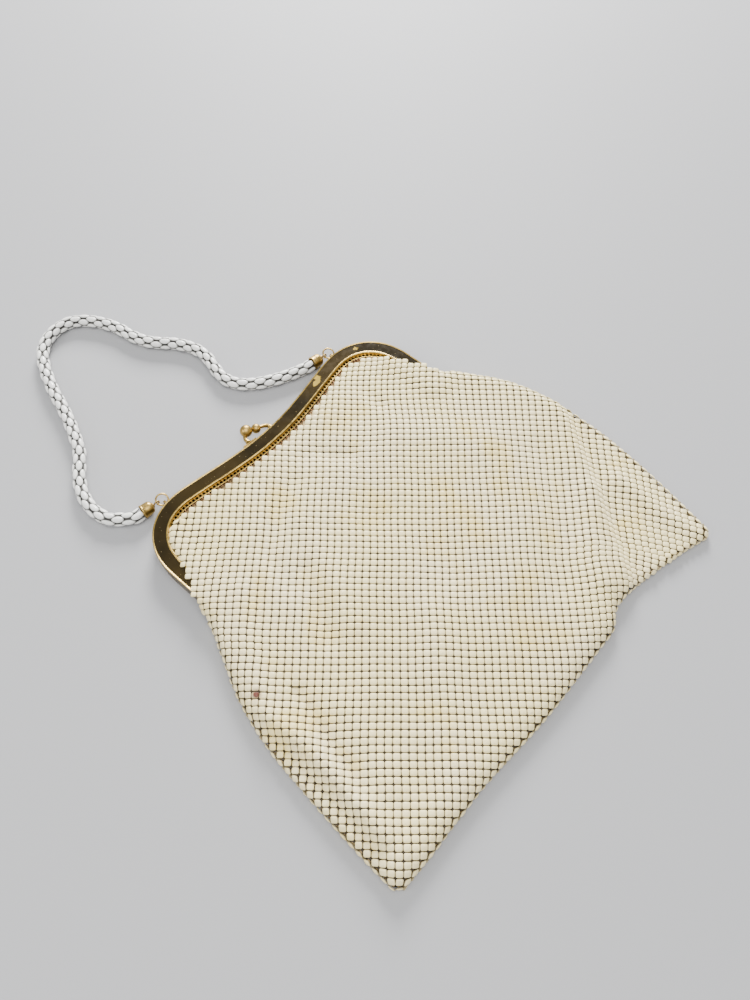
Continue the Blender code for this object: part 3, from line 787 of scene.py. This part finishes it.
def top_edge():
    """Where the tiles' centres start along the frame, and over the arms' ends."""
    line = ridge_line(241)
    steps = np.concatenate([[0.0], np.cumsum(np.linalg.norm(np.diff(line, axis=0), axis=1))])
    from_middle = steps - steps[-1] / 2
    left = by_table(-from_middle, LEFT_TOP)
    right = by_table(from_middle, RIGHT_TOP)
    return inset(line, np.where(from_middle < 0, left, right))


def outline_parts():
    """The free edges of the bag, from the left arm round to the right, and the edge along the frame."""
    top = top_edge()
    left = through([top[0], *LEFT_EDGE], 150)
    right = through([top[-1], *RIGHT_EDGE], 150)
    bottom = through(BOTTOM_EDGE, 220)
    return top, np.vstack([left, bottom[1:-1], right[::-1]])


def gap_to_line(points, line):
    """Distance from each point to a line of points, and the nearest of them."""
    best = np.full(len(points), 1e9)
    which = np.zeros(len(points), int)
    for k, (a, b) in enumerate(zip(line, line[1:])):
        ab = b - a
        t = np.clip(((points - a) @ ab) / (ab @ ab), 0.0, 1.0)
        gap = np.linalg.norm(points - a - t[:, None] * ab, axis=1)
        nearer = gap < best
        best[nearer] = gap[nearer]
        which[nearer] = k
    return best, which


def inside(points, polygon):
    """Whether each point is in a closed polygon."""
    found = np.zeros(len(points), bool)
    for a, b in zip(polygon, np.roll(polygon, -1, axis=0)):
        crosses = (a[1] > points[:, 1]) != (b[1] > points[:, 1])
        if b[1] != a[1]:
            found ^= crosses & (points[:, 0] < (b[0] - a[0]) * (points[:, 1] - a[1]) / (b[1] - a[1]) + a[0])
    return found


EAR_CREASE = (58.0, -165.0)  # below and to the right of here the mesh drops towards its right corner
EAR_DROP = 4.0
FOLDS = [  # a soft ridge or valley: its line, its half width and its height
    ([(-100, -103), (-98.3, -118), (-99.4, -136), (-101, -158), (-103.5, -171)], 3.2, -3.2),
    ([(-95.9, -104), (-93.5, -120), (-92.5, -136), (-94.5, -154), (-97, -168)], 4.5, 2.2),
    ([(-80, -110), (-84.9, -126.8), (-87.5, -136.6), (-88.6, -144.7), (-91.8, -152)], 3.2, -2),
    ([(-64.4, -61.7), (-79.2, -80), (-88, -96)], 5, 1.3),
    ([(-39.9, -76), (-46.3, -86), (-56, -104)], 4.5, -1.4),
    ([(-24, -60), (-34, -84), (-44, -108)], 6, 0.9),
    ([(-12.2, -41.5), (-26.7, -47.5), (-44, -58.6), (-49.5, -76)], 4.5, -1.2),
    ([(-72, -126), (-77, -146), (-84, -160)], 5, 0.9),
    ([(0.6, -35.3), (6.7, -39.7), (10.3, -46.5), (15.5, -52)], 4, -1.3),
    ([(88, -192), (86, -174), (88, -152)], 4.5, 1.6),
    ([(74, -146), (54, -160), (40, -174)], 5, 1.6),
    ([(44, -22), (48, -31), (46, -44)], 3.2, -1.2),
    ([(76, -116), (66.1, -133), (46, -150), (26.1, -162.6)], 7, -1.2),
    ([(58, -100), (44, -128), (16, -148)], 10, 1),
    ([(40, -60), (52, -78), (62, -92)], 9, 0.9),
    ([(-20, -130), (-36, -146), (-58, -160)], 9, 1.1),
    ([(-50, -150), (-66, -164), (-86, -172)], 7, -0.9),
    ([(0, -76), (6, -100), (2, -120)], 12, -0.8),
]


def at_lip(points):
    """Whether each point is where the mesh's lip lies in the left arm."""
    return (points[:, 0] < LIP_FROM[0]) & (points[:, 1] > LIP_FROM[1])


class Field:
    """Heights of one side of the bag over the table, on a grid, with the way in from the edge."""

    def __init__(self, front):
        self.low = np.array([-128.0, -214.0])
        self.shape = (246, 222)
        xs = self.low[0] + np.arange(self.shape[0])
        ys = self.low[1] + np.arange(self.shape[1])
        points = np.stack(np.meshgrid(xs, ys, indexing="ij"), axis=-1).reshape(-1, 2)
        top, free = outline_parts()
        gap, which = gap_to_line(points, free)
        beyond_top = [(free[-1, 0], 90.0), (free[0, 0], 90.0)]
        sign = np.where(inside(points, np.vstack([free, beyond_top])), 1.0, -1.0)
        depth = gap * sign
        share = which / len(free)
        if front:
            width = by_table(share, EDGE_WIDTHS)
            rise = self.plateau(points)
        else:
            width = np.full(len(points), BACK_EDGE_WIDTH)
            rise = np.full(len(points), BACK_Z)
        t = np.clip(depth / width, 0.0, 1.0)
        edge = np.sqrt(1.0 - (1.0 - t) ** 2)
        start = EDGE_Z if front else BACK_Z
        self.height = (start + (rise - start) * edge).reshape(self.shape)
        self.depth = depth.reshape(self.shape)
        frame_gap, _ = gap_to_line(points, top)
        west, south = self.low
        east = west + self.shape[0]
        corners = [(west, top[0, 1]), (west, south), (east, south), (east, top[-1, 1])]
        bag_side = np.vstack([top[::-1], *corners])
        self.top_gap = np.where(inside(points, bag_side), frame_gap, -frame_gap).reshape(self.shape)

    @staticmethod
    def plateau(points):
        """Height of the front away from its edges: on the arms, at the strip, and its folds."""
        across, down = points[:, 0], -points[:, 1]
        rise = by_table(down, FRONT_RISE)
        rise = rise + 0.35 * np.sin(across / 17.0 + 0.6) * np.sin(down / 23.0 + 0.4)
        rise = rise + 0.25 * np.sin((across - down) / 11.0 + 1.0) * np.sin((across + down) / 31.0)
        calm = smooth_step((down - 24.0) / 22.0)
        for line, wide, high in FOLDS:
            gap, _ = gap_to_line(points, np.array(line))
            rise = rise + calm * high * np.exp(-((gap / wide) ** 2))
        gap, _ = gap_to_line(points, ridge_line(121))
        on_arm = smooth_step((down - np.where(across < 0, 12.0, 24.0)) / 9.0)
        on_arm = on_arm * (1.0 - smooth_step((gap - 4.2) / 9.0))
        rise = np.maximum(rise, rise + on_arm * (ON_ARM_Z - rise))
        corner = (points - np.array(EAR_CREASE)) @ np.array([0.79, -0.61])
        return rise - EAR_DROP * smooth_step(corner / 8.0)

    def rolled(self, points):
        """The points with those beyond the free edges turned down and in under them."""
        flat = points[..., :2].reshape(-1, 2)
        inwards = self.slope(self.depth, flat)
        inwards /= np.maximum(np.linalg.norm(inwards, axis=1, keepdims=True), 0.2)
        past = np.clip(-self.read(self.depth, flat), 0.0, None)
        turn = np.clip(past / EDGE_ROLL, 0.0, 2.2)
        flat = flat + inwards * (past + EDGE_ROLL * (1.0 - np.cos(turn)))[:, None]
        height = points[..., 2].ravel() - EDGE_ROLL * np.sin(turn)
        inwards = self.slope(self.top_gap, flat)
        past = np.clip(LIP_START - self.read(self.top_gap, flat), 0.0, None) * at_lip(flat)
        turn = np.clip(past / LIP_ROLL, 0.0, 2.2)
        flat = flat + inwards * (past - LIP_ROLL * np.sin(turn))[:, None]
        height = height - LIP_ROLL * (1.0 - np.cos(turn))
        return np.column_stack([flat, height]).reshape(points.shape)

    def read(self, table, points):
        """The table's value at each point, between the grid's points."""
        place = points - self.low
        cell = np.clip(np.floor(place).astype(int), 0, np.array(self.shape) - 2)
        fx, fy = np.clip(place - cell, 0.0, 1.0).T
        i, j = cell.T
        return ((table[i, j] * (1 - fx) + table[i + 1, j] * fx) * (1 - fy)
                + (table[i, j + 1] * (1 - fx) + table[i + 1, j + 1] * fx) * fy)

    def slope(self, table, points):
        """How the table rises at each point, along x and along y."""
        return np.stack([self.read(part, points) for part in np.gradient(table)], axis=1)


def evened(values, rounds):
    """The lattice's values without their changes from one tile to the next."""
    values = values.copy()
    for _ in range(rounds):
        values[1:-1] = 0.5 * values[1:-1] + 0.25 * (values[2:] + values[:-2])
        values[:, 1:-1] = 0.5 * values[:, 1:-1] + 0.25 * (values[:, 2:] + values[:, :-2])
    return values


def lattice(field, rounds):
    """Rows and columns of tile centres, drawn together over the field till their steps are even."""
    steps = np.arange(-60, 61)
    i, j = np.meshgrid(steps, steps, indexing="ij")
    along_row = i * PITCH
    along_column = j * ROW_STEP
    # the rows rise towards both sides and drop at the right corner
    left = np.clip(-along_row - 28.0, 0.0, None)
    low = smooth_step((-20.0 - along_column) / 40.0)
    right = np.clip(along_row - 58.0, 0.0, 36.0)
    corner = np.clip(along_row - 94.0, 0.0, None)
    lift = left**2 * (0.0012 * low - 0.0006 * np.exp(-(((along_column + 28.0) / 24.0) ** 2)))
    lift = lift + 0.0034 * right**2 * smooth_step((22.0 - along_column) / 30.0) - 0.34 * corner
    # all over, the mesh ripples
    wave = 1.1 * np.sin(along_row / 4.3 + along_column / 19.0)
    wave = wave + 0.6 * np.sin((along_row + 0.6 * along_column) / 6.6 + 1.3)
    sway = 0.7 * np.sin(along_column / 5.2 + along_row / 24.0 + 0.9)
    # at the right shoulder and the left arm the mesh is gathered
    bunched = np.exp(-(((along_row + 18.0) / 24.0) ** 2)) * smooth_step((along_column - 66.0) / 28.0)
    gathered = smooth_step((-54.0 - along_row) / 26.0) * smooth_step((along_column + 46.0) / 24.0)
    row_rest = PITCH * (1.0 - 0.18 * bunched - 0.06 * gathered)
    column_rest = ROW_STEP * (1.0 - 0.07 * gathered)
    along_column = along_column + lift + wave
    # in the right corner the columns turn
    turned = 0.12 * (along_column - 5.0) * smooth_step((along_row - 84.0) / 30.0)
    along_row = along_row + sway + turned
    flat = MESH_MIDDLE + along_row[..., None] * ROWS + along_column[..., None] * COLUMNS
    flat = flat.reshape(-1, 2)
    shape = i.shape
    for _ in range(rounds):
        height = field.read(field.height, flat)
        normal = np.column_stack([-field.slope(field.height, flat), np.ones(len(flat))])
        normal /= np.linalg.norm(normal, axis=1, keepdims=True)
        points = np.column_stack([flat, height]).reshape(*shape, 3)
        push = np.zeros_like(points)
        for axis, rest in ((0, row_rest[1:, :, None]), (1, column_rest[:, 1:, None])):
            link = np.diff(points, axis=axis)
            size = np.linalg.norm(link, axis=-1, keepdims=True)
            pull = 0.23 * link * (1.0 - rest / size)
            if axis == 0:
                push[:-1] += pull
                push[1:] -= pull
            else:
                push[:, :-1] += pull
                push[:, 1:] -= pull
        push = push.reshape(-1, 3)
        push -= normal * np.sum(push * normal, axis=1, keepdims=True)
        flat = flat + push[:, :2]
    flat = evened(flat.reshape(*shape, 2), 1).reshape(-1, 2)
    gap = field.read(field.top_gap, flat)
    eased = np.where((gap > 0.0) & (gap < EASING[-1][0]), by_table(gap, EASING) - gap, 0.0)
    shift = field.slope(field.top_gap, flat) * eased[:, None]
    flat = flat + evened(shift.reshape(*shape, 2), 2).reshape(-1, 2)
    height = field.read(field.height, flat)
    return np.column_stack([flat, height]).reshape(*shape, 3)


def tile():
    """One domed square tile with rounded corners: its points, faces and rims."""
    turns = np.linspace(0.0, 2 * math.pi, TILE_SIDES, endpoint=False) + math.radians(15.0)
    power = 2.0 / 4.2
    square = np.stack([np.sign(np.cos(turns)) * np.abs(np.cos(turns)) ** power,
                       np.sign(np.sin(turns)) * np.abs(np.sin(turns)) ** power], axis=1)
    rings = [(0.93, -0.28, 1.0), (1.0, -0.02, 0.8), (0.92, 0.24, 0.35), (0.62, 0.47, 0.0)]
    points, rims = [], []
    for share, up, rim in rings:
        points.extend((u * share, v * share, up) for u, v in square)
        rims.extend([rim] * TILE_SIDES)
    points.append((0.0, 0.0, 0.60))
    rims.append(0.0)
    faces = ring_faces(len(rings), TILE_SIDES)
    faces.append(tuple(range(TILE_SIDES))[::-1])
    top = len(points) - 1
    last = top - TILE_SIDES
    faces.extend((last + k, last + (k + 1) % TILE_SIDES, top) for k in range(TILE_SIDES))
    return np.array(points), faces, np.array(rims)


def tile_ways(points, side, lean):
    """Each tile's two sides and the way its middle faces, leaning a little its own way."""
    row = np.gradient(points, axis=0)
    column = np.gradient(points, axis=1)
    across = np.cross(row, column)
    normal = across * side / np.linalg.norm(across, axis=-1, keepdims=True)
    square = np.cross(column, across)
    even = row / np.linalg.norm(row, axis=-1, keepdims=True)
    even = even + square / np.linalg.norm(square, axis=-1, keepdims=True)
    first = even - normal * np.sum(even * normal, axis=-1, keepdims=True)
    first /= np.linalg.norm(first, axis=-1, keepdims=True)
    second = np.cross(normal, first)
    leaning = normal + lean[..., :1] * first + lean[..., 1:] * second
    leaning /= np.linalg.norm(leaning, axis=-1, keepdims=True)
    return first, second, normal, leaning


def link_net(word, points, side, keep):
    """The net of links behind the tiles."""
    number = np.full(keep.shape, -1)
    number[keep] = np.arange(keep.sum())
    whole = keep[:-1, :-1] & keep[1:, :-1] & keep[1:, 1:] & keep[:-1, 1:]
    quads = [(number[i, j], number[i + 1, j], number[i + 1, j + 1], number[i, j + 1])
             for i, j in np.argwhere(whole)]
    if side < 0:
        quads = [quad[::-1] for quad in quads]
    rows, columns = np.argwhere(keep).T
    return Shape().add(points[keep], quads).make(f"{word}_links", LINKS_AND_PAINTED_SHADE, sharp=180.0, row=rows,
                                                 column=columns)


def mesh_side(word, field, points, side, keep, nodes):
    """The tiles of one side of the bag and the net of links under them."""
    row_size = np.linalg.norm(np.gradient(points, axis=0), axis=-1)
    column_size = np.linalg.norm(np.gradient(points, axis=1), axis=-1)
    if side > 0:
        points = field.rolled(points)
    rng = np.random.default_rng(7 if side > 0 else 8)
    lean = rng.normal(0.0, TILE_LEAN, (*keep.shape, 2))
    shade = rng.random(keep.shape)
    first, second, normal, leaning = tile_ways(points, side, lean)
    form, faces, rims = tile()
    count = len(form)
    where = np.argwhere(keep)
    groups = np.array_split(where, math.ceil(len(where) / GROUP))
    pieces = []
    for number, group in enumerate(groups, 1):
        i, j = group.T
        centre = points[i, j]
        most = 1.05 + 0.12 * (1.0 - smooth_step(field.read(field.top_gap, centre[:, :2]) / 6.0))
        most = most + 0.16 * (1.0 - smooth_step(field.read(field.depth, centre[:, :2]) / 9.0))
        wide = TILE_HALF * np.clip(row_size[i, j] / PITCH, TILE_LEAST, most)
        high = TILE_LONG * np.clip(column_size[i, j] / ROW_STEP, TILE_LEAST, most)
        places = (centre[:, None]
                  + form[None, :, :1] * wide[:, None, None] * first[i, j][:, None]
                  + form[None, :, 1:2] * high[:, None, None] * second[i, j][:, None]
                  + form[None, :, 2:] * leaning[i, j][:, None])
        places[..., 2] = np.maximum(places[..., 2], TABLE_GAP)
        all_faces = [tuple(k * count + n for n in face) for k in range(len(group)) for face in faces]
        shape = Shape().add(places, all_faces, 0, np.tile(rims, len(group)))
        from_stain = np.linalg.norm(places.reshape(-1, 3)[:, :2] - np.array(STAIN), axis=1)
        stain = 1.5 * np.exp(-(from_stain / STAIN_RADIUS) ** 2) * (side > 0)
        pieces.append(shape.make(f"{word}_tiles_{number}", CREAM, sharp=70.0,
                                 shade=np.repeat(shade[i, j], count), stain=stain))
    net = link_net(word, points - normal * NET_DROP, side, keep)
    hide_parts(*nodes)
    for piece in [net, *pieces]:
        if side > 0:
            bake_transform(piece)
        else:
            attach(piece, "bag")


def mesh_bag():
    """The front mesh and the back mesh on the table."""
    rounds = 420
    field = Field(front=True)
    points = lattice(field, rounds)
    shape = points.shape[:2]
    flat = points[..., :2].reshape(-1, 2)
    tuck = EDGE_TUCK * (flat[:, 1] < ARM_CLEAR)
    keep = field.read(field.depth, flat) > 0.3 - tuck
    keep &= field.read(field.top_gap, flat) > -0.3 - 0.5 * at_lip(flat)
    mesh_side("front", field, points, 1, keep.reshape(shape), ("front_mesh_panel", "front_mesh_top"))

    field = Field(front=False)
    points = lattice(field, rounds // 3)
    flat = points[..., :2].reshape(-1, 2)
    from_ridge, _ = gap_to_line(flat, ridge_line(121))
    clear = np.where(flat[:, 1] < -52.0, 5.6, TOP_GAP)
    beside_arms = (flat[:, 1] > ARM_CLEAR - 0.5) & (np.abs(flat[:, 0]) > ARM_INSIDE)
    keep = (field.read(field.depth, flat) > 2.6) & (field.read(field.top_gap, flat) > 0.0)
    keep &= (from_ridge > clear) & ~beside_arms
    mesh_side("back", field, points, -1, keep.reshape(shape), ("back_mesh_panel",))


stage()
chain()
for build in (frame_half, strip, hanging_wire):
    for half in HALVES:
        build(*half)
for word, _, body in HALVES:
    clasp(word, body)
mesh_bag()
for node in ("left_handle_lug", "right_handle_lug", "left_hinge_rivet", "right_hinge_rivet",
             "front_clasp_plate", "back_clasp_plate"):
    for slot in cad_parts[node].material_slots:
        slot.material = BRASS
